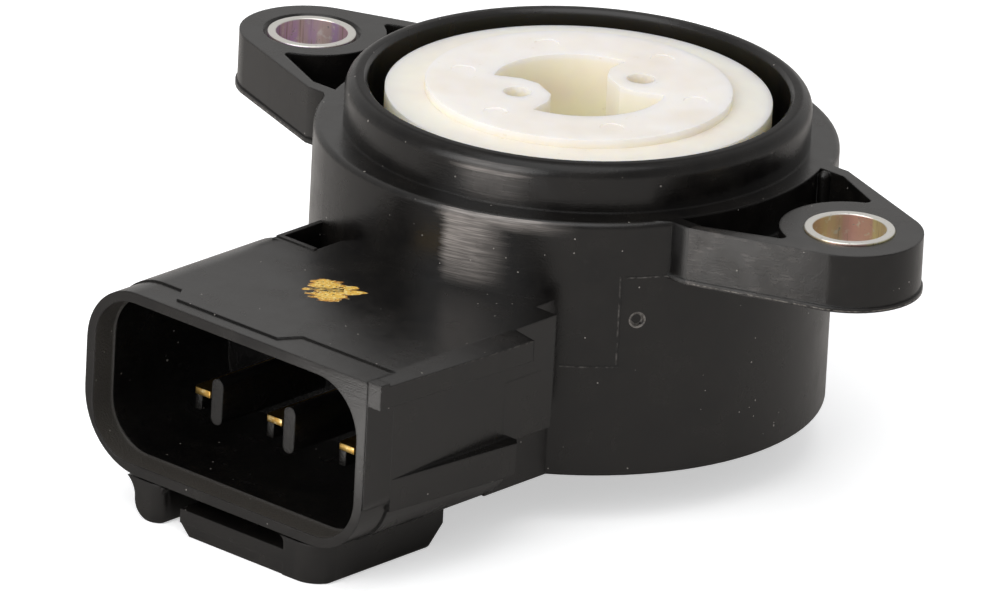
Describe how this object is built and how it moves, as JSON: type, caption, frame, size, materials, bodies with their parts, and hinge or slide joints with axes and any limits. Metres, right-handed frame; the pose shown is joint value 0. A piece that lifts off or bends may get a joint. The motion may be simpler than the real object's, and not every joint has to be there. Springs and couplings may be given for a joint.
{
  "type": "throttle position sensor",
  "caption": "Throttle position sensor: black round housing with two bushed ears, spigot, white drive rotor and a three-way socket with a latch bar.",
  "frame": {"origin": "on the rotor axis, in the mounting face of the ears and shoulder", "axes": "+Z out of the rotor side towards the throttle body, -Y along the socket, X through the two ears"},
  "size_m": [0.0724, 0.0636, 0.0301],
  "materials": {
    "black_plastic": "moulded glass-filled PBT, black, half matt",
    "dark_plastic": "moulded PBT, black, matt",
    "white_plastic": "moulded acetal, natural white, silky",
    "zinc_steel": "turned steel, zinc plated and passivated",
    "gold_contact": "stamped bronze, gold plated, bright",
    "spring_steel": "bright spring steel",
    "washer_bronze": "phosphor bronze, rolled",
    "brush_alloy": "noble-metal contact alloy, stamped",
    "ceramic_board": "alumina, fired, matt",
    "carbon_ink": "carbon resistor ink, cured",
    "silver_ink": "silver conductor ink, cured",
    "solder": "tin solder, bright",
    "sealant": "black epoxy sealant, semi gloss"
  },
  "bodies": {
    "sensor": {"housing": "black_plastic", "bush_left": "zinc_steel", "bush_right": "zinc_steel", "terminal_left": "gold_contact", "terminal_middle": "gold_contact", "terminal_right": "gold_contact", "return_spring": "spring_steel", "thrust_washer": "washer_bronze", "wave_washer": "spring_steel", "resistor_board": "ceramic_board", "resistive_track": "carbon_ink", "collector_track": "silver_ink", "solder_left": "solder", "solder_middle": "solder", "solder_right": "solder", "rear_cover": "dark_plastic", "rear_sealant": "sealant"},
    "rotor": {"rotor": "white_plastic", "retaining_ring": "spring_steel", "brush_carrier": "dark_plastic", "contact_brush": "brush_alloy"}
  },
  "joints": [
    {"name": "rotor_turn", "type": "hinge", "parent": "sensor", "child": "rotor", "pos_m": [0, 0, 0], "axis": [0, 0, 1], "range_deg": [0, 90], "stiffness_Nm_per_rad": 0.008, "springref_deg": -20.05}
  ]
}
